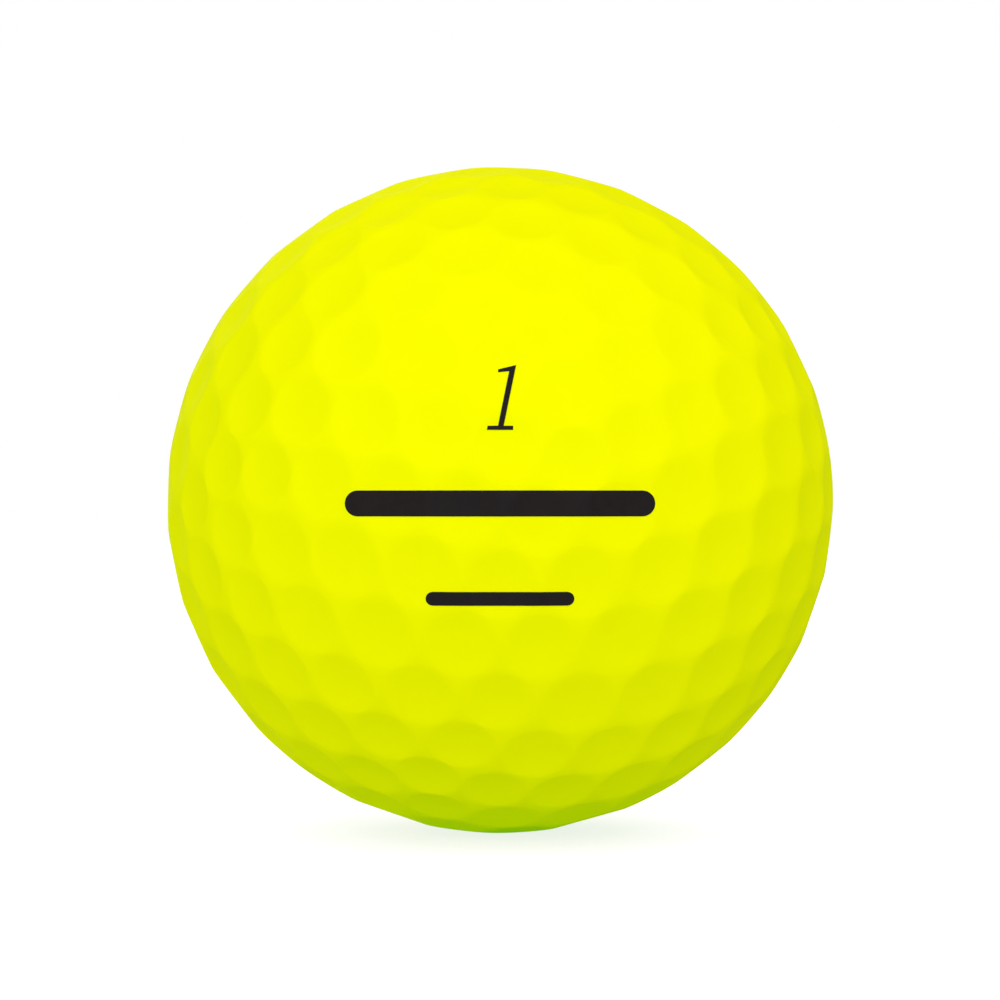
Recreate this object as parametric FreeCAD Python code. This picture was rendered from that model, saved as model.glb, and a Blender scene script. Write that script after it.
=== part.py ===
import FreeCAD, Part
import itertools
import math
import os

from FreeCAD import Placement, Rotation, Vector

# Three-piece golf ball: a rubber core, an ionomer mantle and a dimpled cover, with pad-printed ink marks.
# Millimetres. The origin is the ball's centre and +Z is up. The play number stands on the -Y side,
# above the bar that marks the line of play, and the same print stands on the +Y side.

# Ball and its layers
BALL_DIAMETER = 42.67            # over the lands between the dimples, the smallest that the rules allow
COVER_THICKNESS = 1.30           # from a land to the cover's inside wall
MANTLE_THICKNESS = 1.15

# Dimples, one at every point of a triangle lattice that is wrapped round the ball
LATTICE_STEPS = (5, 1)           # lattice steps from one five-sided corner to the next: 312 dimples
LAND_WIDTH = 0.11                # flat left between two closest dimples
DIMPLE_DEPTH = 0.26              # from the ball's round to the bottom of a dimple
CUTTER_RELIEF = 0.03             # the cutter's straight flank stands this far outside the rim
RIM_DECIMALS = 3                 # rim radii are made to a thousandth, so that like dimples are alike

# How the lattice is turned against the print, in degrees
PATTERN_YAW = -19.9
PATTERN_PITCH = -0.65
PATTERN_ROLL = -6.75

# Printed marks; heights are above the ball's centre
INK_THICKNESS = 0.03
NUMBER_BASELINE = 4.03
NUMBER_HEIGHT = 3.78
NUMBER_SLANT = 11.5              # degrees from upright
STEM_WIDTH = 0.33
FOOT_LENGTH = 1.51
FOOT_HEIGHT = 0.24
FLAG_REACH = 0.66                # from the stem's left edge to the tip of the flag
FLAG_DROP = 0.25                 # from the top of the number to the tip's upper corner
FLAG_TIP = 0.17                  # height of the tip
FLAG_ROOT = 0.36                 # from the top of the number down to the flag's lower root
LINE_LENGTH = 18.0
LINE_WIDTH = 1.50
LINE_HEIGHT = -0.20
DASH_LENGTH = 8.60
DASH_WIDTH = 0.80
DASH_HEIGHT = -5.70

BALL_RADIUS = BALL_DIAMETER / 2
COVER_INNER_RADIUS = BALL_RADIUS - COVER_THICKNESS
CORE_RADIUS = COVER_INNER_RADIUS - MANTLE_THICKNESS
UP = Vector(0, 0, 1)


def lattice_corners():
    """The twelve corners of an icosahedron, as directions from the ball's centre."""
    golden = (1 + math.sqrt(5)) / 2
    turn = Rotation(PATTERN_YAW, PATTERN_PITCH, PATTERN_ROLL)
    corners = []
    for short in (-1, 1):
        for long in (-golden, golden):
            for corner in (Vector(0, short, long), Vector(short, long, 0), Vector(long, 0, short)):
                corners.append(turn.multVec(corner).normalize())
    return corners


def lattice_faces(corners):
    """The twenty faces between three corners that are one edge apart, anticlockwise from outside."""
    edge = min(corners[0].getAngle(other) for other in corners[1:])
    faces = []
    for first, second, third in itertools.combinations(corners, 3):
        sides = (first.getAngle(second), second.getAngle(third), third.getAngle(first))
        if max(sides) > edge * 1.01:
            continue
        outward = (second - first).cross(third - first).dot(first) > 0
        faces.append((first, second, third) if outward else (first, third, second))
    return faces, edge


def lattice_shares():
    """The share of each corner at every lattice point inside one face."""
    along, aside = LATTICE_STEPS
    cells = along * along + along * aside + aside * aside
    reach = along + aside
    shares = []
    for i in range(-reach, reach + 1):
        for j in range(-reach, reach + 1):
            second = (i * (along + aside) + j * aside) / cells
            third = (j * along - i * aside) / cells
            first = 1 - second - third
            if min(first, second, third) > -1e-9:
                shares.append((first, second, third))
    return shares


def dimple_directions():
    """Every lattice point as a direction: each corner weighs by the sine of its share of the edge."""
    faces, edge = lattice_faces(lattice_corners())
    directions = []
    for face in faces:
        for shares in lattice_shares():
            total = Vector(0, 0, 0)
            for corner, share in zip(face, shares):
                total += corner * math.sin(share * edge)
            direction = total.normalize()
            if all((direction - known).Length > 1e-6 for known in directions):
                directions.append(direction)
    return directions


def dimple_rims(directions):
    """Each dimple's rim radius: half the way to its closest neighbour, less half a land."""
    rims = []
    for direction in directions:
        closest = min((direction - other).Length for other in directions if other is not direction)
        half_angle = math.asin(closest / 2) - LAND_WIDTH / 2 / BALL_RADIUS
        rims.append(round(BALL_RADIUS * math.sin(half_angle), RIM_DECIMALS))
    return rims


def dimple_cutter(rim_radius, skin):
    """Ball-nosed cutter for a dimple on the Z axis; a skin of ink over the cover makes it smaller."""
    bottom = BALL_RADIUS - DIMPLE_DEPTH
    rise = math.sqrt(BALL_RADIUS**2 - rim_radius**2) - bottom
    hollow_radius = (rim_radius**2 + rise**2) / (2 * rise)
    nose_centre = Vector(0, 0, bottom + hollow_radius)
    top = BALL_RADIUS + skin + DIMPLE_DEPTH
    low = bottom - DIMPLE_DEPTH
    shank = Part.makeCylinder(rim_radius + CUTTER_RELIEF, top - low, Vector(0, 0, low))
    # the sphere's poles and seam are turned away from the nose, which stays one plain face
    return shank.common(Part.makeSphere(hollow_radius - skin, nose_centre, Vector(1, 0, 0)))


def dimpled_ball(dimples, skin=0.0):
    """Solid ball with the given dimples, each a direction and a rim radius, grown by a skin of ink."""
    cutters = {rim_radius: dimple_cutter(rim_radius, skin) for direction, rim_radius in dimples}
    cuts = []
    for direction, rim_radius in dimples:
        cut = cutters[rim_radius].copy()
        cut.Placement = Placement(Vector(0, 0, 0), Rotation(UP, direction))
        cuts.append(cut)
    return Part.makeSphere(BALL_RADIUS + skin).cut(Part.makeCompound(cuts))


def number_outline():
    """The slanted play number 1, with a flag at its top and a straight foot."""
    lean = math.tan(math.radians(NUMBER_SLANT))
    half_stem = STEM_WIDTH / 2
    top = NUMBER_HEIGHT
    flag_root = top - FLAG_ROOT
    flag_tip = (top - FLAG_DROP) * lean - half_stem - FLAG_REACH
    points = [
        (-FOOT_LENGTH / 2, 0),
        (FOOT_LENGTH / 2, 0),
        (FOOT_LENGTH / 2, FOOT_HEIGHT),
        (FOOT_HEIGHT * lean + half_stem, FOOT_HEIGHT),
        (top * lean + half_stem, top),
        (flag_tip, top - FLAG_DROP),
        (flag_tip, top - FLAG_DROP - FLAG_TIP),
        (flag_root * lean - half_stem, flag_root),
        (FOOT_HEIGHT * lean - half_stem, FOOT_HEIGHT),
        (-FOOT_LENGTH / 2 + FOOT_HEIGHT * lean, FOOT_HEIGHT),
    ]
    corners = [Vector(x, 0, NUMBER_BASELINE + z) for x, z in points]
    return Part.Face(Part.makePolygon(corners + corners[:1]))


def bar_outline(length, width, height):
    """A level bar with round ends."""
    half = width / 2
    reach = length / 2 - half
    right = Part.Arc(Vector(reach, 0, height - half), Vector(reach + half, 0, height),
                     Vector(reach, 0, height + half))
    left = Part.Arc(Vector(-reach, 0, height + half), Vector(-reach - half, 0, height),
                    Vector(-reach, 0, height - half))
    lower = Part.makeLine(Vector(-reach, 0, height - half), Vector(reach, 0, height - half))
    upper = Part.makeLine(Vector(reach, 0, height + half), Vector(-reach, 0, height + half))
    return Part.Face(Part.Wire([lower, right.toShape(), upper, left.toShape()]))


def ink_mark(outline, dimples, half_turn):
    """Film of ink of even thickness that follows the dimpled cover under a flat outline."""
    side = Rotation(UP, half_turn)
    outline = outline.copy()
    outline.rotate(Vector(0, 0, 0), UP, half_turn)
    towards = side.multVec(Vector(0, -BALL_DIAMETER, 0))
    stamp = outline.extrude(towards)
    box = outline.BoundBox
    under = []
    for direction, rim_radius in dimples:
        spot = direction * BALL_RADIUS
        inside = box.XMin - rim_radius < spot.x < box.XMax + rim_radius
        inside = inside and box.ZMin - rim_radius < spot.z < box.ZMax + rim_radius
        if inside and spot.dot(towards) > 0:
            under.append((direction, rim_radius))
    film = stamp.common(dimpled_ball(under, INK_THICKNESS))
    return film.cut(dimpled_ball(under))


def save(name, shape):
    """Writes one named piece, after a look at its solids."""
    if not shape.isValid() or not shape.Solids:
        raise ValueError("the piece " + name + " is not a sound solid")
    shape.exportStep("parts/" + name + ".step")
    print(name, len(shape.Solids), "solid(s),", round(shape.Volume, 3), "mm3")


def main():
    os.makedirs("parts", exist_ok=True)
    directions = dimple_directions()
    dimples = list(zip(directions, dimple_rims(directions)))
    print(len(dimples), "dimples, diameters", sorted({round(2 * rim, 2) for rim in dimple_rims(directions)}))

    core = Part.makeSphere(CORE_RADIUS)
    mantle = Part.makeSphere(COVER_INNER_RADIUS).cut(Part.makeSphere(CORE_RADIUS))
    cover = dimpled_ball(dimples).cut(Part.makeSphere(COVER_INNER_RADIUS))
    save("core", core)
    save("mantle", mantle)
    save("cover", cover)

    outlines = {
        "play_number": number_outline(),
        "line_of_play_bar": bar_outline(LINE_LENGTH, LINE_WIDTH, LINE_HEIGHT),
        "lower_bar": bar_outline(DASH_LENGTH, DASH_WIDTH, DASH_HEIGHT),
    }
    for side, half_turn in (("front", 0), ("back", 180)):
        for name, outline in outlines.items():
            save(name + "_" + side, ink_mark(outline, dimples, half_turn))


main()
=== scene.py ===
import math
from itertools import combinations

import bpy
import numpy as np
from bpy.props import FloatProperty, FloatVectorProperty, PointerProperty
from bpy.types import Operator, Panel, PropertyGroup
from mathutils import Euler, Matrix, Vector


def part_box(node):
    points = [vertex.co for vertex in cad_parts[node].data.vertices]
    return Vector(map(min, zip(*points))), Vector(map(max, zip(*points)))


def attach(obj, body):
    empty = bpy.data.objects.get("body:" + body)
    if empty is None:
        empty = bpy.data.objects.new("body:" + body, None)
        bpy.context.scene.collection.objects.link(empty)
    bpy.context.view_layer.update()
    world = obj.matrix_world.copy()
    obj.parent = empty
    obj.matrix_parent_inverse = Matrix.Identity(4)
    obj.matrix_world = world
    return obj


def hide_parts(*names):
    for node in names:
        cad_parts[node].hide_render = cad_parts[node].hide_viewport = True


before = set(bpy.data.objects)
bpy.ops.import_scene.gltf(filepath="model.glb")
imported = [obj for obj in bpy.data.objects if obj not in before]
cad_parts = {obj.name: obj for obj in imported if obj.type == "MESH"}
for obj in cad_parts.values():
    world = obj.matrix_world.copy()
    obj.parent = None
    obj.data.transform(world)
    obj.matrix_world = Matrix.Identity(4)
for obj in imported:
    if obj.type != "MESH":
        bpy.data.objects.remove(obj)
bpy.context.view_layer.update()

bl_info = {
    "name": "Golf Ball",
    "version": (1, 0, 0),
    "blender": (4, 5, 0),
    "location": "View3D > Sidebar > Golf Ball",
    "description": "Dresses the frame of a golf ball with its cover, print, layers and stage",
    "category": "Object",
}

MM = 0.001
WELD_GRAIN = 1e-7                # points closer than this, in metres or as directions, are one

# Lattice that carries the dimples
LATTICE_STEPS = (5, 1)           # lattice steps from one five-sided corner to the next
PATTERN_YAW = -19.9              # how the lattice is turned against the print, in degrees
PATTERN_PITCH = -0.65
PATTERN_ROLL = -6.75
EDGE_SLACK = 0.01                # how far off an edge's cosine two joined corners may be
GAP_TO_SIXTH = 1.3               # a sixth neighbour this many times as far as the fifth isn't one
RIM_DECIMALS = 6                 # rim radii are made to a thousandth of a millimetre
BLOCK = 8000                     # directions that are worked out at once

# Mesh of the cover: rings round each dimple, where 1 is its rim and 2 the middle of the land
RINGS = (0.28, 0.53, 0.74, 0.88, 0.97, 1.4, 2.0)
STEPS_PER_SIDE = 7               # steps along each side of a dimple's five- or six-sided cell
WALL_STEPS = 24                  # steps along each edge of the lattice on the cover's inside wall

# Mesh of the ink
INK_STEP = 0.15 * MM
INK_SINK = 0.02 * MM             # the film's underside sits this far inside the cover's face
INK_ROUNDS = 5                   # rounds in which a film's points settle on the dimpled face
LEAST_BAR_STEPS = 8              # steps across a narrow bar
SHARP_EDGE = math.radians(50)    # edges of a film that turn more than this stay sharp

# Steps across and up each patch of the play number
FOOT_STEPS = (5, 2)
STEM_IN_FOOT_STEPS = (3, 2)
STEM_STEPS = (3, 28)
STEM_TOP_STEPS = (3, 3)
FLAG_STEPS = (6, 3)

# Noise in the finishes
RIPPLE_DETAIL = 2.0
GRIT_DETAIL = 3.0
GRIT_FINENESS = 6.0              # how many times finer the grit is than the ripple
CLOUD_DETAIL = 4.0
CLOUD_RANGE = (0.3, 0.7)         # noise at the first shows one colour only, at the second the other
ROUGHNESS_SWING = 0.05           # what the clouds add to a finish's roughness or take from it
PAINTED_SHADE_SHARE = (0.25, 0.9)   # share of the painted shade on a land and at the bottom of a dimple


def node_reach(name):
    """Distance of each corner of a CAD node from the ball's centre."""
    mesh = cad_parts[name].data
    corners = np.empty(len(mesh.vertices) * 3)
    mesh.vertices.foreach_get("co", corners)
    return np.linalg.norm(corners.reshape(-1, 3), axis=1)


BALL_RADIUS = float(node_reach("cover").max())
COVER_INNER_RADIUS = float(node_reach("cover").min())

# Stage
WHITE = (1, 1, 1)
LAMP_DISTANCE = 16 * BALL_RADIUS
LAMP_SIZE = 12 * BALL_RADIUS
CLIP_START = BALL_RADIUS / 10
FLOOR_REACH = 60 * BALL_RADIUS       # from the middle of the floor to each side
FLOOR_POINTS = 3                     # points along each side of the floor
FLOOR_GREY = (0.6, 0.6, 0.6)
FLOOR_ROUGHNESS = 0.9
FLOOR_GLOW = 1.3                     # over 1, so that white stays white where some shading shows
SHADOW_START = 0.2 * BALL_RADIUS     # up to here the floor shows most of its own shading
SHADOW_END = 1.4 * BALL_RADIUS       # and from here on none


class CoverSettings(PropertyGroup):
    """Sizes and colours of the dimpled cover."""

    dimple_depth: FloatProperty(
        name="Dimple depth",
        description="From the ball's round to the bottom of a dimple",
        default=0.26 * MM, min=0.01 * MM, max=0.6 * MM, precision=5,
        subtype="DISTANCE", unit="LENGTH",
    )
    land_width: FloatProperty(
        name="Land width",
        description="Flat left between two closest dimples",
        default=0.11 * MM, min=0, max=1 * MM, precision=5,
        subtype="DISTANCE", unit="LENGTH",
    )
    rim_softness: FloatProperty(
        name="Rim softness",
        description="How far paint and polishing round off a dimple's rim",
        default=0.018 * MM, min=0.001 * MM, max=0.1 * MM, precision=6,
        subtype="DISTANCE", unit="LENGTH",
    )
    paint: FloatVectorProperty(
        name="Paint",
        description="Colour of the cover's paint",
        default=(0.94, 0.82, 0.0), min=0, max=1, subtype="COLOR",
    )
    # Painted shade: a darker colour laid into the dimples' hollows, most at their bottoms.
    painted_hollow_shade: FloatVectorProperty(
        name="Deep paint",
        description="Colour where the paint lies thicker",
        default=(0.925, 0.80, 0.0), min=0, max=1, subtype="COLOR",
    )
    # Glow stands in for the pigment's fluorescence, but it is constant and does not follow the
    # light, so it is a painted glow that greens the shaded side.
    glow: FloatVectorProperty(
        name="Glow",
        description="Yellow green that the fluorescent pigment gives back under plain light",
        default=(0.06, 0.225, 0.0), min=0, max=1, subtype="COLOR",
    )
    roughness: FloatProperty(
        name="Roughness",
        description="Roughness of the matte clear coat",
        default=0.62, min=0, max=1, subtype="FACTOR",
    )


class InkSettings(PropertyGroup):
    """Sizes and colours of the printed marks."""

    thickness: FloatProperty(
        name="Film thickness",
        description="How far the ink stands above the cover",
        default=0.029 * MM, min=0.005 * MM, max=0.03 * MM, precision=6,
        subtype="DISTANCE", unit="LENGTH",
    )
    number_slant: FloatProperty(
        name="Number slant",
        description="Lean of the play number from upright",
        default=math.radians(11.5), min=0, max=math.radians(30),
        subtype="ANGLE", unit="ROTATION",
    )
    stem_width: FloatProperty(
        name="Stem width",
        description="Width of the play number's stem",
        default=0.33 * MM, min=0.1 * MM, max=1 * MM, precision=5,
        subtype="DISTANCE", unit="LENGTH",
    )
    foot_width: FloatProperty(
        name="Foot width",
        description="Width of the bar under the play number",
        default=1.51 * MM, min=0.8 * MM, max=1.7 * MM, precision=5,
        subtype="DISTANCE", unit="LENGTH",
    )
    foot_height: FloatProperty(
        name="Foot height",
        description="Height of the bar under the play number",
        default=0.24 * MM, min=0.1 * MM, max=1 * MM, precision=5,
        subtype="DISTANCE", unit="LENGTH",
    )
    flag_reach: FloatProperty(
        name="Flag reach",
        description="From the stem's left edge to the tip of the flag",
        default=0.66 * MM, min=0.1 * MM, max=2 * MM, precision=5,
        subtype="DISTANCE", unit="LENGTH",
    )
    flag_drop: FloatProperty(
        name="Flag drop",
        description="From the top of the number to the flag's upper corner",
        default=0.25 * MM, min=0, max=1 * MM, precision=5,
        subtype="DISTANCE", unit="LENGTH",
    )
    flag_tip: FloatProperty(
        name="Flag tip",
        description="Height of the flag at its tip",
        default=0.17 * MM, min=0.05 * MM, max=1 * MM, precision=5,
        subtype="DISTANCE", unit="LENGTH",
    )
    flag_root: FloatProperty(
        name="Flag root",
        description="From the top of the number down to the flag's lower root",
        default=0.36 * MM, min=0.1 * MM, max=1 * MM, precision=5,
        subtype="DISTANCE", unit="LENGTH",
    )
    ink: FloatVectorProperty(
        name="Ink",
        description="Colour of the pad-printed ink",
        default=(0.007, 0.005, 0.006), min=0, max=1, subtype="COLOR",
    )
    thin_ink: FloatVectorProperty(
        name="Thin ink",
        description="Colour where the ink lies thinner",
        default=(0.013, 0.010, 0.009), min=0, max=1, subtype="COLOR",
    )


class LayerSettings(PropertyGroup):
    """Colours of the layers inside the cover."""

    core: FloatVectorProperty(
        name="Core rubber",
        description="Colour of the moulded rubber core",
        default=(0.26, 0.34, 0.40), min=0, max=1, subtype="COLOR",
    )
    core_speck: FloatVectorProperty(
        name="Core speck",
        description="Colour of the filler grains in the rubber",
        default=(0.42, 0.50, 0.54), min=0, max=1, subtype="COLOR",
    )
    mantle: FloatVectorProperty(
        name="Mantle",
        description="Colour of the mantle's ionomer",
        default=(0.72, 0.71, 0.62), min=0, max=1, subtype="COLOR",
    )
    mantle_flow: FloatVectorProperty(
        name="Mantle flow marks",
        description="Colour of the flow marks in the ionomer",
        default=(0.62, 0.60, 0.50), min=0, max=1, subtype="COLOR",
    )


class StageSettings(PropertyGroup):
    """Camera, lamps and floor."""

    camera_distance: FloatProperty(
        name="Camera distance",
        description="From the ball's centre to the lens, level and in front of the print",
        default=9 * BALL_RADIUS, min=2 * BALL_RADIUS,
        subtype="DISTANCE", unit="LENGTH",
    )
    ball_share: FloatProperty(
        name="Ball in the picture",
        description="Share of the picture's width that the ball's outline takes",
        default=0.6662, min=0.1, max=1, precision=4, subtype="FACTOR",
    )
    key_level: FloatProperty(
        name="Key level",
        description="What the soft lamp next to the camera adds to a white face turned towards it",
        default=0.47, min=0, max=2,
    )
    top_level: FloatProperty(
        name="Top level",
        description="What the overhead lamp adds to a white face turned towards it",
        default=0.23, min=0, max=2,
    )
    side_level: FloatProperty(
        name="Side level",
        description="What the lamp on the left adds to a white face turned towards it",
        default=0.19, min=0, max=2,
    )
    back_level: FloatProperty(
        name="Back level",
        description="What the lamp behind the ball adds to a white face turned towards it",
        default=0.27, min=0, max=2,
    )
    top_tint: FloatVectorProperty(
        name="Top tint",
        description="Colour of the overhead lamp, a little warmer than the others",
        default=(1.0, 0.75, 0.65), min=0, max=1, subtype="COLOR",
    )
    fill_level: FloatProperty(
        name="Fill level",
        description="Brightness of the soft light from all round",
        default=0.42, min=0, max=2,
    )
    shadow_share: FloatProperty(
        name="Shadow share",
        description="How much of the floor's own shading shows close to the ball",
        default=0.4, min=0, max=1, subtype="FACTOR",
    )


# ---------------------------------------------------------------- directions and points


def unit(vectors):
    """Each vector divided by its own length."""
    return vectors / np.linalg.norm(vectors, axis=-1, keepdims=True)


def welded(points):
    """The points without their doubles, and the number of the kept one for each point given."""
    grains = np.round(points / WELD_GRAIN).astype(np.int64)
    _, first, numbers = np.unique(grains, axis=0, return_index=True, return_inverse=True)
    return points[first], numbers.ravel()


def lattice_corners():
    """The twelve corners of an icosahedron, as directions.

    They are (0, a, b), (a, b, 0) and (b, 0, a), with a = -1 or 1 and b = minus or plus the golden
    ratio, turned by roll about X, then pitch about Y, then yaw about Z.
    """
    golden = (1 + math.sqrt(5)) / 2
    short, long = (grid.ravel() for grid in np.meshgrid((-1.0, 1.0), (-golden, golden)))
    zero = np.zeros_like(short)
    triples = ((zero, short, long), (short, long, zero), (long, zero, short))
    corners = np.concatenate([np.stack(triple, axis=1) for triple in triples])
    angles = [math.radians(angle) for angle in (PATTERN_ROLL, PATTERN_PITCH, PATTERN_YAW)]
    turn = np.array(Euler(angles, "XYZ").to_matrix())
    return unit(corners @ turn.T)


def lattice_faces(corners):
    """The corners of the icosahedron's twenty faces, and the angle along an edge.

    Three corners make a face where every two of them are an edge apart. A face whose determinant is
    below zero is clockwise from outside, and two of its corners change places.
    """
    cosine = corners @ corners.T
    edge = math.acos(np.sort(cosine[0])[-2])
    joined = np.abs(cosine - math.cos(edge)) < EDGE_SLACK
    a, b, c = np.array(list(combinations(range(len(corners)), 3))).T
    triples = np.stack((a, b, c), axis=1)[joined[a, b] & joined[b, c] & joined[c, a]]
    faces = corners[triples]
    inward = np.linalg.det(faces) < 0
    faces[inward] = faces[inward][:, [0, 2, 1]]
    return faces, edge


def spread_on_faces(shares, faces, edge):
    """Points of faces: the sum of a face's corners, each times the sine of its share of an edge."""
    return unit(np.einsum("pk,fkx->fpx", np.sin(shares * edge), faces))


def dimple_axes():
    """Directions of all the dimples: a triangle lattice laid over each face.

    The lattice point i, j has second share (i * (m + n) + j * n) / T and third share
    (j * m - i * n) / T, with T = m * m + m * n + n * n for m and n lattice steps. The three shares
    add up to 1, and the point belongs to the face where none is below zero.
    """
    along, aside = LATTICE_STEPS
    cells = along * along + along * aside + aside * aside
    reach = np.arange(-(along + aside), along + aside + 1)
    i, j = (grid.ravel() for grid in np.meshgrid(reach, reach))
    second = (i * (along + aside) + j * aside) / cells
    third = (j * along - i * aside) / cells
    shares = np.stack((1 - second - third, second, third), axis=1)
    shares = shares[shares.min(axis=1) > -WELD_GRAIN]
    axes, _ = welded(spread_on_faces(shares, *lattice_faces(lattice_corners())).reshape(-1, 3))
    return axes


def dimple_rims(axes, land_width):
    """Each rim's radius: half the way to the closest other dimple, less half a land."""
    closest = np.sort(axes @ axes.T, axis=1)[:, -2]
    half_angle = np.arccos(closest) / 2 - land_width / 2 / BALL_RADIUS
    return np.round(BALL_RADIUS * np.sin(half_angle), RIM_DECIMALS)


def cover_radius(directions, axes, rims, settings):
    """Distance from the ball's centre to the cover's face along each direction.

    A dimple is a hollow from a larger sphere of radius h, with its centre outside the ball, c along
    the dimple's axis. A ray at angle a from that axis meets it at
    c * cos(a) - sqrt(h * h - (c * sin(a)) ** 2), which lies d below the ball's round R. Round and
    hollows run together softly: R - s * ln(1 + sum of exp(d / s)), with s the softness of the rims.
    """
    soft = settings.rim_softness
    bottom = BALL_RADIUS - settings.dimple_depth
    rise = np.sqrt(BALL_RADIUS ** 2 - rims ** 2) - bottom
    hollow = (rims ** 2 + rise ** 2) / (2 * rise)
    centre = bottom + hollow
    radii = []
    for block in np.array_split(directions, max(1, len(directions) // BLOCK)):
        cosine = block @ axes.T
        under_root = hollow ** 2 - centre ** 2 * (1 - cosine ** 2)
        below = BALL_RADIUS - centre * cosine + np.sqrt(np.maximum(under_root, 0))
        below[(under_root < 0) | (cosine < 0)] = -BALL_RADIUS
        radii.append(BALL_RADIUS - soft * np.log1p(np.exp(below / soft).sum(axis=1)))
    return np.concatenate(radii)


def dimple_pattern(settings):
    """What cover_radius needs: the dimples' directions, their rims and the cover's settings."""
    axes = dimple_axes()
    return axes, dimple_rims(axes, settings.land_width), settings


# ---------------------------------------------------------------- meshes


def grid_quads(number):
    """The quads between the numbered points of a grid, each from one point ahead and then up."""
    corners = (number[:-1, :-1], number[:-1, 1:], number[1:, 1:], number[1:, :-1])
    return np.stack(corners, axis=-1).reshape(-1, 4)


def dimple_cells(axes, rims, chosen, near, sides):
    """Rings of directions and the faces of the chosen dimples' cells, which all have those sides.

    A cell's border joins the points that are as far from the dimple as from two of its neighbours.
    Parameter v runs round the border and u outwards: the angle from the dimple's axis is rim * u as
    far as the rim (u = 1), and rim + (border - rim) * (u - 1) from there to the border (u = 2).
    """
    centre = axes[chosen]
    first = unit(near[:, 0] - centre * np.sum(near[:, 0] * centre, axis=1, keepdims=True))
    second = np.cross(centre, first)
    aside = np.einsum("ckx,cx->ck", near, second)
    ahead = np.einsum("ckx,cx->ck", near, first)
    turn = np.arctan2(aside, ahead)
    near = np.take_along_axis(near, np.argsort(turn, axis=1)[..., None], axis=1)
    next_near = np.roll(near, -1, axis=1)
    corners = unit(np.cross(near - centre[:, None], next_near - centre[:, None]))
    share = (np.arange(STEPS_PER_SIDE) / STEPS_PER_SIDE)[:, None]
    next_corners = np.roll(corners, -1, axis=1)
    border = corners[:, :, None] * (1 - share) + next_corners[:, :, None] * share
    border = unit(border.reshape(len(centre), -1, 3))

    cosine = np.einsum("cvx,cx->cv", border, centre)
    outward = unit(border - centre[:, None] * cosine[..., None])
    rim = np.arcsin(rims[chosen] / BALL_RADIUS)[:, None, None]
    u = np.array(RINGS)[None, :, None]
    angle = rim * np.minimum(u, 1) + (np.arccos(cosine)[:, None] - rim) * np.maximum(u - 1, 0)
    angle = angle[..., None]
    rings = centre[:, None, None] * np.cos(angle) + outward[:, None] * np.sin(angle)

    around = sides * STEPS_PER_SIDE
    cell_size = 1 + len(RINGS) * around
    v = np.arange(around)
    next_v = (v + 1) % around
    fan = np.stack((np.zeros_like(v), 1 + v, 1 + next_v), axis=1)
    ring_start = 1 + around * np.arange(len(RINGS) - 1)[:, None]
    inner = ring_start + v
    next_inner = ring_start + next_v
    band = np.stack((inner, inner + around, next_inner + around, next_inner), axis=-1)
    cell_start = cell_size * np.arange(len(centre))[:, None, None]
    directions = np.concatenate((centre[:, None], rings.reshape(len(centre), -1, 3)), axis=1)
    triangles = (fan + cell_start).reshape(-1, 3)
    quads = (band.reshape(-1, 4) + cell_start).reshape(-1, 4)
    return directions.reshape(-1, 3), triangles, quads


def round_grid(steps):
    """A sphere of directions and its triangles, outwards: every face of the icosahedron as a grid.

    The grid's point in a row and place has the shares (steps - row - place, row, place) / steps.
    """
    line = np.arange(steps + 1)
    row, place = np.nonzero(np.add.outer(line, line) <= steps)
    shares = np.stack((steps - row - place, row, place), axis=1) / steps
    number = np.zeros((steps + 2, steps + 2), int)
    number[row, place] = np.arange(len(row))
    here = number[row, place]
    next_row = number[row + 1, place]
    next_place = number[row, place + 1]
    across = number[row + 1, place + 1]
    up = row + place < steps
    down = row + place < steps - 1
    triangles = np.concatenate((
        np.stack((here, next_row, next_place), axis=1)[up],
        np.stack((next_row, across, next_place), axis=1)[down],
    ))
    faces, edge = lattice_faces(lattice_corners())
    points = spread_on_faces(shares, faces, edge)
    starts = len(shares) * np.arange(len(faces))[:, None, None]
    directions, numbers = welded(points.reshape(-1, 3))
    return directions, numbers[(triangles + starts).reshape(-1, 3)]


def cover_shell(settings):
    """Points and faces of the cover, and how deep each point lies in a dimple, from 0 to 1.

    Outside, the directions of all the dimples' cells go out to the cover's face. Inside is a plain
    round wall whose triangles face the ball's centre.
    """
    pattern = dimple_pattern(settings)
    axes, rims = pattern[:2]
    order = np.argsort(-(axes @ axes.T), axis=1)
    fifth, sixth = (np.arccos(np.sum(axes * axes[order[:, n]], axis=1)) for n in (5, 6))
    five_sided = sixth > GAP_TO_SIXTH * fifth
    directions = []
    triangles = []
    quads = []
    start = 0
    for sides, those in ((5, five_sided), (6, ~five_sided)):
        chosen = np.nonzero(those)[0]
        near = axes[order[chosen, 1:sides + 1]]
        made, fans, bands = dimple_cells(axes, rims, chosen, near, sides)
        directions.append(made)
        triangles.append(fans + start)
        quads.append(bands + start)
        start += len(made)
    outside, numbers = welded(np.concatenate(directions))
    radius = cover_radius(outside, *pattern)
    wall, wall_triangles = round_grid(WALL_STEPS)
    points = np.concatenate((outside * radius[:, None], wall * COVER_INNER_RADIUS))
    faces = numbers[np.concatenate(triangles)].tolist()
    faces += numbers[np.concatenate(quads)].tolist()
    faces += (wall_triangles[:, ::-1] + len(outside)).tolist()
    hollow = np.zeros(len(points))
    hollow[:len(outside)] = (BALL_RADIUS - radius) / settings.dimple_depth
    return points, faces, hollow


def quad_patch(corners, across, up):
    """Grid of points over a four-sided patch: the four corners mixed by u and v.

    u runs from the first corner to the second, and v from those two to the fourth and the third.
    """
    u = np.linspace(0, 1, across + 1)[None, :, None]
    v = np.linspace(0, 1, up + 1)[:, None, None]
    a, b, c, d = (np.array(corner) for corner in corners)
    return a * (1 - u) * (1 - v) + b * u * (1 - v) + c * u * v + d * (1 - u) * v


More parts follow.
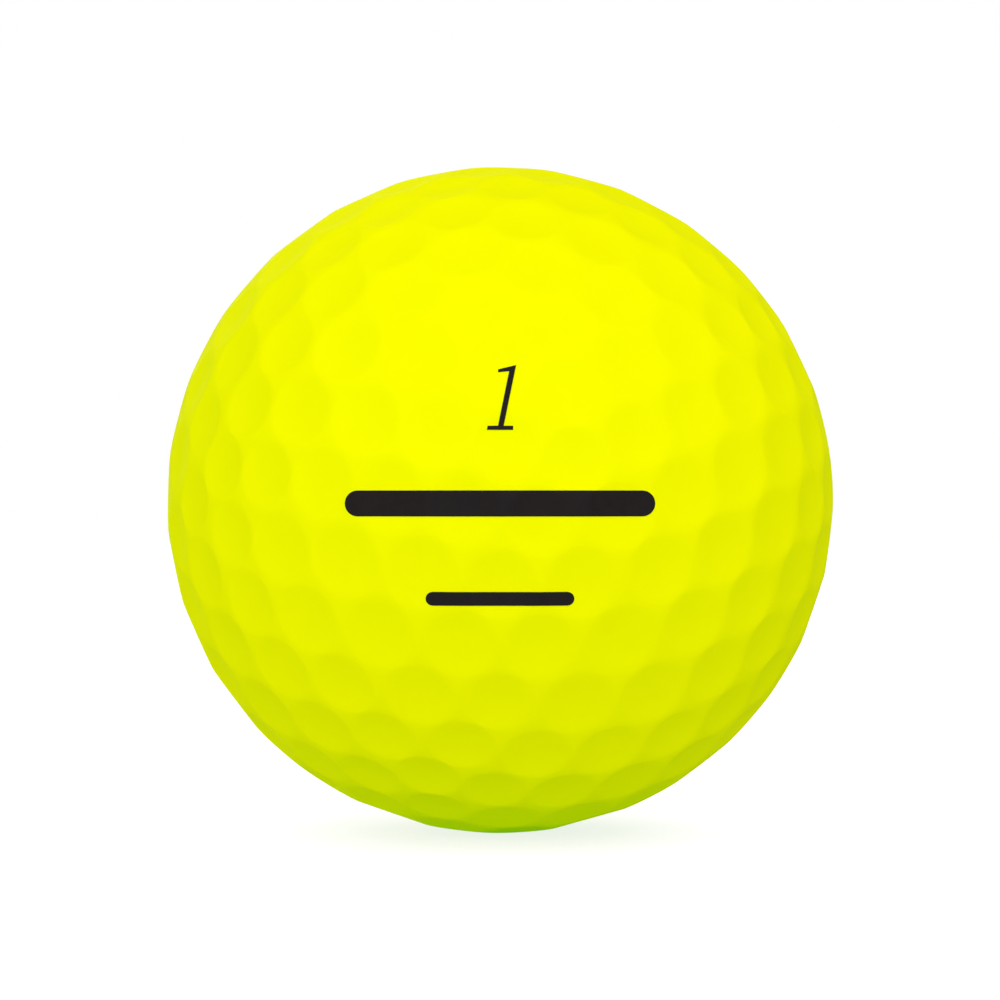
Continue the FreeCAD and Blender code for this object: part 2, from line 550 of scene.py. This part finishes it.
def bar_patch(low, high):
    """Level bar with round ends, for u from -1 to 1 and v from -90 to 90 degrees.

    z is the middle plus half the bar's height times sin(v), and x is u times the straight reach and
    half the height times cos(v) together.
    """
    half = (high.z - low.z) / 2
    reach = (high.x - low.x) / 2 - half
    along = round((high.x - low.x) / INK_STEP)
    across = max(LEAST_BAR_STEPS, round(math.pi * half / INK_STEP))
    u = np.linspace(-1, 1, along + 1)[None, :]
    v = np.linspace(-math.pi / 2, math.pi / 2, across + 1)[:, None]
    x = u * (reach + half * np.cos(v))
    z = (low.z + half + half * np.sin(v)) * np.ones_like(u)
    return np.stack((x, z), axis=-1)


def number_patches(low, high, settings):
    """The play number 1 as four-sided patches: three along its foot, two up its stem and one flag.

    At height z the stem's sides are at z * tan(slant) minus and plus half its width. The flag's
    upper edge is straight: it falls by the flag's drop from the stem's top right to the tip, and
    the stem's left side ends on it.
    """
    lean = math.tan(settings.number_slant)
    half_stem = settings.stem_width / 2
    half_foot = settings.foot_width / 2
    height = high.z - low.z
    foot = settings.foot_height
    root = height - settings.flag_root
    drop = settings.flag_drop
    tip = (height - drop) * lean - half_stem - settings.flag_reach

    def stem(z, side):
        """Point on the stem's left (-1) or right (1) side at a height."""
        return (z * lean + side * half_stem, z)

    top_right = stem(height, 1)
    along_top = 2 * half_stem / (top_right[0] - tip - drop * lean)
    top_left = (top_right[0] + along_top * (tip - top_right[0]), height - along_top * drop)
    foot_left = (foot * lean - half_foot, foot)
    tip_low = (tip, height - drop - settings.flag_tip)
    tip_high = (tip, height - drop)
    patches = (
        (((-half_foot, 0), stem(0, -1), stem(foot, -1), foot_left), FOOT_STEPS),
        ((stem(0, -1), stem(0, 1), stem(foot, 1), stem(foot, -1)), STEM_IN_FOOT_STEPS),
        ((stem(0, 1), (half_foot, 0), (half_foot, foot), stem(foot, 1)), FOOT_STEPS),
        ((stem(foot, -1), stem(foot, 1), stem(root, 1), stem(root, -1)), STEM_STEPS),
        ((stem(root, -1), stem(root, 1), top_right, top_left), STEM_TOP_STEPS),
        ((tip_low, stem(root, -1), top_left, tip_high), FLAG_STEPS),
    )
    return [quad_patch(corners, *steps) + (0, low.z) for corners, steps in patches]


def patch_mesh(patches):
    """Flat points (x, z) of all patches welded together, and their quads, anticlockwise."""
    points = []
    quads = []
    start = 0
    for patch in patches:
        rows, columns = patch.shape[:2]
        quads.append(grid_quads(start + np.arange(rows * columns).reshape(rows, columns)))
        points.append(patch.reshape(-1, 2))
        start += rows * columns
    flat, numbers = welded(np.concatenate(points))
    return flat, numbers[np.concatenate(quads)]


def ink_film(patches, side, pattern, thickness):
    """Closed film of ink in the shape of a flat outline.

    The points keep their x and z and go along Y onto the cover's face plus the film's thickness,
    and once more just under the face. Walls join the two along the border. With r the cover's
    radius in the point's direction plus the skin, y is side * sqrt(r * r - x * x - z * z); r and y
    are worked out in turn until they settle. The print on the far side is turned half round.
    """
    flat, quads = patch_mesh(patches)
    x = -side * flat[:, 0]
    z = flat[:, 1]
    layers = []
    for skin in (thickness, -INK_SINK):
        radius = np.full(len(flat), BALL_RADIUS)
        for _ in range(INK_ROUNDS):
            points = np.stack((x, side * np.sqrt(radius ** 2 - x ** 2 - z ** 2), z), axis=1)
            radius = cover_radius(unit(points), *pattern) + skin
        layers.append(points)
    count = len(flat)
    edges = np.stack((quads, np.roll(quads, -1, axis=1)), axis=-1).reshape(-1, 2)
    there = edges[:, 0] * count + edges[:, 1]
    back = edges[:, 1] * count + edges[:, 0]
    a, b = edges[~np.isin(back, there)].T
    walls = np.stack((b, a, a + count, b + count), axis=1)
    faces = np.concatenate((quads, quads[:, ::-1] + count, walls))
    return np.concatenate(layers), faces.tolist()


def new_piece(name, points, faces, material, slot, *nodes):
    """Makes a mesh object that stands for the given CAD nodes, hides them and hangs it on the root
    body.
    """
    mesh = bpy.data.meshes.new(name)
    mesh.from_pydata(points.tolist(), [], faces)
    mesh.materials.append(material)
    mesh.shade_smooth()
    piece = bpy.data.objects.new(name, mesh)
    bpy.context.scene.collection.objects.link(piece)
    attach(piece, "root")
    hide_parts(*nodes)
    return piece


# ---------------------------------------------------------------- node groups


def node_group(name, inputs, outputs):
    """An empty shader group. Inputs are given as type and default or None, outputs as type."""
    group = bpy.data.node_groups.new(name, "ShaderNodeTree")
    for socket, (kind, default) in inputs.items():
        made = group.interface.new_socket(socket, in_out="INPUT", socket_type=kind)
        if default is not None:
            made.default_value = default
    for socket, kind in outputs.items():
        group.interface.new_socket(socket, in_out="OUTPUT", socket_type=kind)
    return group, group.nodes.new("NodeGroupInput"), group.nodes.new("NodeGroupOutput")


def feed(tree, socket, value):
    """Links another node's output to an input, or sets the input to a number, colour or vector."""
    if isinstance(value, bpy.types.NodeSocket):
        tree.links.new(value, socket)
    elif socket.type == "RGBA":
        socket.default_value = (*value, 1)
    else:
        socket.default_value = value


def noise(tree, vector, scale, detail):
    """A Noise Texture node on the given coordinates."""
    texture = tree.nodes.new("ShaderNodeTexNoise")
    for name, value in (("Vector", vector), ("Scale", scale), ("Detail", detail)):
        feed(tree, texture.inputs[name], value)
    return texture.outputs["Fac"]


def maths(tree, operation, *values):
    """A Math node on outputs and numbers."""
    node = tree.nodes.new("ShaderNodeMath")
    node.operation = operation
    for value, socket in zip(values, node.inputs):
        feed(tree, socket, value)
    return node.outputs["Value"]


def map_range(tree, value, start, end, low, high, kind):
    """A Map Range node: low where the value is start or less, and high where it is end or more."""
    node = tree.nodes.new("ShaderNodeMapRange")
    node.interpolation_type = kind
    feed(tree, node.inputs["Value"], value)
    for name, number in (("From Min", start), ("From Max", end), ("To Min", low), ("To Max", high)):
        feed(tree, node.inputs[name], number)
    return node.outputs["Result"]


def mixed(tree, share, first, second):
    """A Mix Shader node: the first shader where the share is 0, and the second where it is 1."""
    node = tree.nodes.new("ShaderNodeMixShader")
    for value, socket in zip((share, first, second), node.inputs):
        feed(tree, socket, value)
    return node.outputs[0]


def fine_grain_group():
    """Grain of a moulded or sprayed face: a soft ripple at Scale, plus Grit times a finer noise."""
    name = "Fine grain"
    if name in bpy.data.node_groups:
        return bpy.data.node_groups[name]
    group, given, result = node_group(
        name,
        {
            "Vector": ("NodeSocketVector", None),
            "Scale": ("NodeSocketFloat", 1500.0),
            "Grit": ("NodeSocketFloat", 0.4),
        },
        {"Height": "NodeSocketFloat"},
    )
    ripple = noise(group, given.outputs["Vector"], given.outputs["Scale"], RIPPLE_DETAIL)
    finer = maths(group, "MULTIPLY", given.outputs["Scale"], GRIT_FINENESS)
    grit = noise(group, given.outputs["Vector"], finer, GRIT_DETAIL)
    weighed = maths(group, "MULTIPLY", grit, given.outputs["Grit"])
    feed(group, result.inputs["Height"], maths(group, "ADD", ripple, weighed))
    return group


def soft_mottle_group():
    """Clouds of two colours: Second shows over First by Amount times a noise at Scale."""
    name = "Soft mottle"
    if name in bpy.data.node_groups:
        return bpy.data.node_groups[name]
    group, given, result = node_group(
        name,
        {
            "Vector": ("NodeSocketVector", None),
            "Scale": ("NodeSocketFloat", 200.0),
            "Amount": ("NodeSocketFloat", 0.5),
            "First": ("NodeSocketColor", None),
            "Second": ("NodeSocketColor", None),
        },
        {"Colour": "NodeSocketColor", "Clouds": "NodeSocketFloat"},
    )
    drifts = noise(group, given.outputs["Vector"], given.outputs["Scale"], CLOUD_DETAIL)
    clouds = map_range(group, drifts, *CLOUD_RANGE, 0, 1, "SMOOTHSTEP")
    mix = group.nodes.new("ShaderNodeMix")
    mix.data_type = "RGBA"
    feed(group, mix.inputs["Factor"], maths(group, "MULTIPLY", clouds, given.outputs["Amount"]))
    feed(group, mix.inputs["A"], given.outputs["First"])
    feed(group, mix.inputs["B"], given.outputs["Second"])
    feed(group, result.inputs["Colour"], mix.outputs["Result"])
    feed(group, result.inputs["Clouds"], clouds)
    return group


# ---------------------------------------------------------------- materials


def place_group(tree, group, **values):
    """Puts a node group into a material, with its own coordinates and values."""
    node = tree.nodes.new("ShaderNodeGroup")
    node.node_tree = group
    for name, value in values.items():
        feed(tree, node.inputs[name], value)
    return node


def moulded_material(
    name, first, second, scale, grain, grit, depth, roughness, specular, amount=0.5,
):
    """Material with two clouded colours, clouds in its roughness and a fine grain in its relief.

    Scale and grain count the clouds and the grains in a metre, and depth is the grain's relief.
    """
    material = bpy.data.materials.new(name)
    material.use_nodes = True
    tree = material.node_tree
    shader = tree.nodes["Principled BSDF"]
    place = tree.nodes.new("ShaderNodeTexCoord").outputs["Object"]
    mottle = place_group(
        tree, soft_mottle_group(),
        Vector=place, Scale=scale, Amount=amount, First=first, Second=second,
    )
    mottle.name = "mottle"
    relief = place_group(tree, fine_grain_group(), Vector=place, Scale=grain, Grit=grit)
    bump = tree.nodes.new("ShaderNodeBump")
    feed(tree, bump.inputs["Distance"], depth)
    feed(tree, bump.inputs["Strength"], 1.0)
    feed(tree, bump.inputs["Height"], relief.outputs["Height"])
    smoothest = roughness - ROUGHNESS_SWING
    roughest = roughness + ROUGHNESS_SWING
    matt = map_range(tree, mottle.outputs["Clouds"], 0, 1, smoothest, roughest, "LINEAR")
    feed(tree, shader.inputs["Base Color"], mottle.outputs["Colour"])
    feed(tree, shader.inputs["Roughness"], matt)
    feed(tree, shader.inputs["Specular IOR Level"], specular)
    feed(tree, shader.inputs["Normal"], bump.outputs["Normal"])
    return material


def cover_material(settings):
    """Fluorescent yellow paint under a matte clear coat; painted shade in hollows, painted glow."""
    material = moulded_material(
        "cover_yellow", settings.paint, settings.painted_hollow_shade, scale=700.0,
        grain=2500.0, grit=0.5, depth=0.004 * MM, roughness=settings.roughness, specular=0.002,
    )
    tree = material.node_tree
    # Painted shade: the darker colour shows more the deeper a point lies in a dimple.
    hollow = tree.nodes.new("ShaderNodeAttribute")
    hollow.attribute_name = "hollow"
    painted_shade = map_range(tree, hollow.outputs["Fac"], 0, 1, *PAINTED_SHADE_SHARE, "LINEAR")
    feed(tree, tree.nodes["mottle"].inputs["Amount"], painted_shade)
    # Painted glow: a constant yellow-green emission that lifts and greens the cover where it lies
    # in shade.
    shader = tree.nodes["Principled BSDF"]
    feed(tree, shader.inputs["Emission Color"], settings.glow)
    feed(tree, shader.inputs["Emission Strength"], 1.0)
    return material


def ink_material(settings):
    """Near-black ink under the same matte clear coat, uneven where the pad left less of it."""
    return moulded_material(
        "black_ink", settings.ink, settings.thin_ink, scale=1600.0, amount=0.6,
        grain=2500.0, grit=0.5, depth=0.003 * MM, roughness=0.6, specular=0.1,
    )


def core_material(settings):
    """Ground rubber with specks of filler."""
    return moulded_material(
        "core_rubber", settings.core, settings.core_speck, scale=90.0, amount=0.35,
        grain=1200.0, grit=0.9, depth=0.02 * MM, roughness=0.8, specular=0.3,
    )


def mantle_material(settings):
    """Unpolished off-white ionomer with wide flow marks."""
    return moulded_material(
        "mantle_ionomer", settings.mantle, settings.mantle_flow, scale=120.0,
        grain=900.0, grit=0.3, depth=0.008 * MM, roughness=0.5, specular=0.4,
    )


# ---------------------------------------------------------------- operators


class GOLFBALL_OT_cover(Operator):
    """Makes the dimpled cover, with the paint's rounded rims, as a closed shell"""

    bl_idname = "golfball.cover"
    bl_label = "Make the cover"

    def execute(self, context):
        settings = context.scene.golfball_cover
        points, faces, hollow = cover_shell(settings)
        material = cover_material(settings)
        piece = new_piece("dimpled_cover", points, faces, material, "cover_yellow", "cover")
        depth = piece.data.attributes.new("hollow", "FLOAT", "POINT")
        depth.data.foreach_set("value", hollow)
        return {"FINISHED"}


class GOLFBALL_OT_marks(Operator):
    """Prints the play number and the two bars on the front and on the back"""

    bl_idname = "golfball.marks"
    bl_label = "Print the marks"

    def execute(self, context):
        settings = context.scene.golfball_ink
        pattern = dimple_pattern(context.scene.golfball_cover)
        material = ink_material(settings)
        for side, where in ((-1, "front"), (1, "back")):
            for mark in ("play_number", "line_of_play_bar", "lower_bar"):
                node = mark + "_" + where
                low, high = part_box(node)
                if mark == "play_number":
                    patches = number_patches(low, high, settings)
                else:
                    patches = [bar_patch(low, high)]
                points, faces = ink_film(patches, side, pattern, settings.thickness)
                film = new_piece(node + "_ink", points, faces, material, "black_ink", node)
                film.data.set_sharp_from_angle(angle=SHARP_EDGE)
        return {"FINISHED"}


class GOLFBALL_OT_layers(Operator):
    """Gives the core and the mantle their finishes"""

    bl_idname = "golfball.layers"
    bl_label = "Finish the inside layers"

    def execute(self, context):
        settings = context.scene.golfball_layers
        finishes = {"core": core_material(settings), "mantle": mantle_material(settings)}
        for node, material in finishes.items():
            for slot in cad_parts[node].material_slots:
                slot.material = material
        return {"FINISHED"}


class GOLFBALL_OT_stage(Operator):
    """Sets up the camera, the lamps, the white surroundings and the floor"""

    bl_idname = "golfball.stage"
    bl_label = "Set the stage"

    def execute(self, context):
        settings = context.scene.golfball_stage
        set_camera(context.scene, settings)
        set_lamps(context.scene, settings)
        set_surroundings(context.scene, settings)
        lay_floor(context.scene, settings)
        context.scene.view_settings.view_transform = "Standard"
        return {"FINISHED"}


def set_camera(scene, settings):
    """Level camera in front of the print.

    The ball's outline is at the angle asin(R / distance) on each side. The lens is half the
    sensor's width, times the ball's share of the picture, over that angle's tangent.
    """
    camera = bpy.data.cameras.new("camera")
    outline = math.tan(math.asin(BALL_RADIUS / settings.camera_distance))
    camera.lens = camera.sensor_width / 2 * settings.ball_share / outline
    camera.clip_start = CLIP_START
    holder = bpy.data.objects.new("camera", camera)
    holder.location = (0, -settings.camera_distance, 0)
    holder.rotation_euler = (math.radians(90), 0, 0)
    scene.collection.objects.link(holder)
    scene.camera = holder


def set_lamp(scene, name, away, level, tint):
    """Large round soft lamp, aimed at the ball.

    A lamp of power P at distance d lights a face turned to it with P / (pi * d * d), and a white
    face then shows that over pi.
    """
    lamp = bpy.data.lights.new(name, "AREA")
    lamp.shape = "DISK"
    lamp.size = LAMP_SIZE
    lamp.energy = level * (math.pi * LAMP_DISTANCE) ** 2
    lamp.color = tint
    holder = bpy.data.objects.new(name, lamp)
    away = Vector(away).normalized()
    holder.location = away * LAMP_DISTANCE
    holder.rotation_euler = away.to_track_quat("Z", "Y").to_euler()
    scene.collection.objects.link(holder)


def set_lamps(scene, settings):
    """White lamps just above the camera, on the left and behind the ball, a warmer one overhead."""
    for name, away, level, tint in (
        ("key_lamp", (0.05, -1.0, 0.2), settings.key_level, WHITE),
        ("top_lamp", (0.35, -0.3, 1.0), settings.top_level, settings.top_tint),
        ("side_lamp", (-1.0, -0.1, 0.1), settings.side_level, WHITE),
        ("back_lamp", (-0.3, 1.0, 0.35), settings.back_level, WHITE),
    ):
        set_lamp(scene, name, away, level, tint)


def seen_by_camera(tree):
    """1 for what the camera sees straight, in a gloss or through glass, 0 for light on things."""
    path = tree.nodes.new("ShaderNodeLightPath")
    direct = maths(tree, "MAXIMUM", path.outputs["Is Camera Ray"], path.outputs["Is Glossy Ray"])
    return maths(tree, "MAXIMUM", direct, path.outputs["Is Transmission Ray"])


def set_surroundings(scene, settings):
    """White surroundings to look at, and soft light from all round to light the ball."""
    world = bpy.data.worlds.new("surroundings")
    world.use_nodes = True
    tree = world.node_tree
    fill = tree.nodes["Background"]
    feed(tree, fill.inputs["Color"], WHITE)
    feed(tree, fill.inputs["Strength"], settings.fill_level)
    white = tree.nodes.new("ShaderNodeBackground")
    feed(tree, white.inputs["Color"], WHITE)
    surface = mixed(tree, seen_by_camera(tree), fill.outputs[0], white.outputs[0])
    feed(tree, tree.nodes["World Output"].inputs["Surface"], surface)
    scene.world = world


def floor_material(settings):
    """Pale floor that keeps the ball's shadow close to it and goes over into white further out.

    The camera sees more of the white glow the further a point is from the middle, which is
    sqrt(x * x + y * y). From below the camera looks through the floor.
    """
    material = bpy.data.materials.new("pale_floor")
    material.use_nodes = True
    tree = material.node_tree
    shader = tree.nodes["Principled BSDF"]
    feed(tree, shader.inputs["Base Color"], FLOOR_GREY)
    feed(tree, shader.inputs["Roughness"], FLOOR_ROUGHNESS)
    feed(tree, shader.inputs["Specular IOR Level"], 0.0)
    flat = tree.nodes.new("ShaderNodeVectorMath")
    flat.operation = "MULTIPLY"
    feed(tree, flat.inputs[0], tree.nodes.new("ShaderNodeTexCoord").outputs["Object"])
    feed(tree, flat.inputs[1], (1, 1, 0))
    way = tree.nodes.new("ShaderNodeVectorMath")
    way.operation = "LENGTH"
    feed(tree, way.inputs[0], flat.outputs["Vector"])
    least = 1 - settings.shadow_share
    white = map_range(tree, way.outputs["Value"], SHADOW_START, SHADOW_END, least, 1, "SMOOTHSTEP")
    glow = tree.nodes.new("ShaderNodeEmission")
    feed(tree, glow.inputs["Strength"], FLOOR_GLOW)
    glow_share = maths(tree, "MULTIPLY", white, seen_by_camera(tree))
    shown = mixed(tree, glow_share, shader.outputs[0], glow.outputs[0])
    camera_ray = tree.nodes.new("ShaderNodeLightPath").outputs["Is Camera Ray"]
    backface = tree.nodes.new("ShaderNodeNewGeometry").outputs["Backfacing"]
    clear = tree.nodes.new("ShaderNodeBsdfTransparent")
    below = maths(tree, "MULTIPLY", camera_ray, backface)
    surface = mixed(tree, below, shown, clear.outputs[0])
    feed(tree, tree.nodes["Material Output"].inputs["Surface"], surface)
    return material


def lay_floor(scene, settings):
    """Level grid that the ball stands on: x and y run over a square, and z is the ball's lowest."""
    steps = np.linspace(-FLOOR_REACH, FLOOR_REACH, FLOOR_POINTS)
    x, y = (grid.ravel() for grid in np.meshgrid(steps, steps))
    points = np.stack((x, y, np.full_like(x, -BALL_RADIUS)), axis=1)
    number = np.arange(FLOOR_POINTS ** 2).reshape(FLOOR_POINTS, FLOOR_POINTS)
    mesh = bpy.data.meshes.new("floor")
    mesh.from_pydata(points.tolist(), [], grid_quads(number).tolist())
    mesh.materials.append(floor_material(settings))
    floor = bpy.data.objects.new("floor", mesh)
    scene.collection.objects.link(floor)


# ---------------------------------------------------------------- add-on


class GOLFBALL_PT_panel(Panel):
    """Sizes, colours and steps of the golf ball"""

    bl_idname = "GOLFBALL_PT_panel"
    bl_label = "Golf Ball"
    bl_space_type = "VIEW_3D"
    bl_region_type = "UI"
    bl_category = "Golf Ball"

    def draw(self, context):
        steps = (
            (context.scene.golfball_cover, GOLFBALL_OT_cover),
            (context.scene.golfball_ink, GOLFBALL_OT_marks),
            (context.scene.golfball_layers, GOLFBALL_OT_layers),
            (context.scene.golfball_stage, GOLFBALL_OT_stage),
        )
        for settings, operator in steps:
            box = self.layout.box()
            for name in settings.__annotations__:
                box.prop(settings, name)
            box.operator(operator.bl_idname)


SETTINGS = {
    "golfball_cover": CoverSettings,
    "golfball_ink": InkSettings,
    "golfball_layers": LayerSettings,
    "golfball_stage": StageSettings,
}
OPERATORS = (GOLFBALL_OT_cover, GOLFBALL_OT_marks, GOLFBALL_OT_layers, GOLFBALL_OT_stage)


def register():
    """Adds the settings, the operators and the panel to Blender."""
    for name, settings in SETTINGS.items():
        bpy.utils.register_class(settings)
        setattr(bpy.types.Scene, name, PointerProperty(type=settings))
    for tool in (*OPERATORS, GOLFBALL_PT_panel):
        bpy.utils.register_class(tool)


def unregister():
    """Takes them all out again, last one first."""
    for tool in reversed((*OPERATORS, GOLFBALL_PT_panel)):
        bpy.utils.unregister_class(tool)
    for name, settings in reversed(SETTINGS.items()):
        delattr(bpy.types.Scene, name)
        bpy.utils.unregister_class(settings)


def main():
    """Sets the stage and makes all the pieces."""
    register()
    bpy.ops.golfball.stage()
    bpy.ops.golfball.cover()
    bpy.ops.golfball.marks()
    bpy.ops.golfball.layers()


if __name__ == "__main__":
    main()
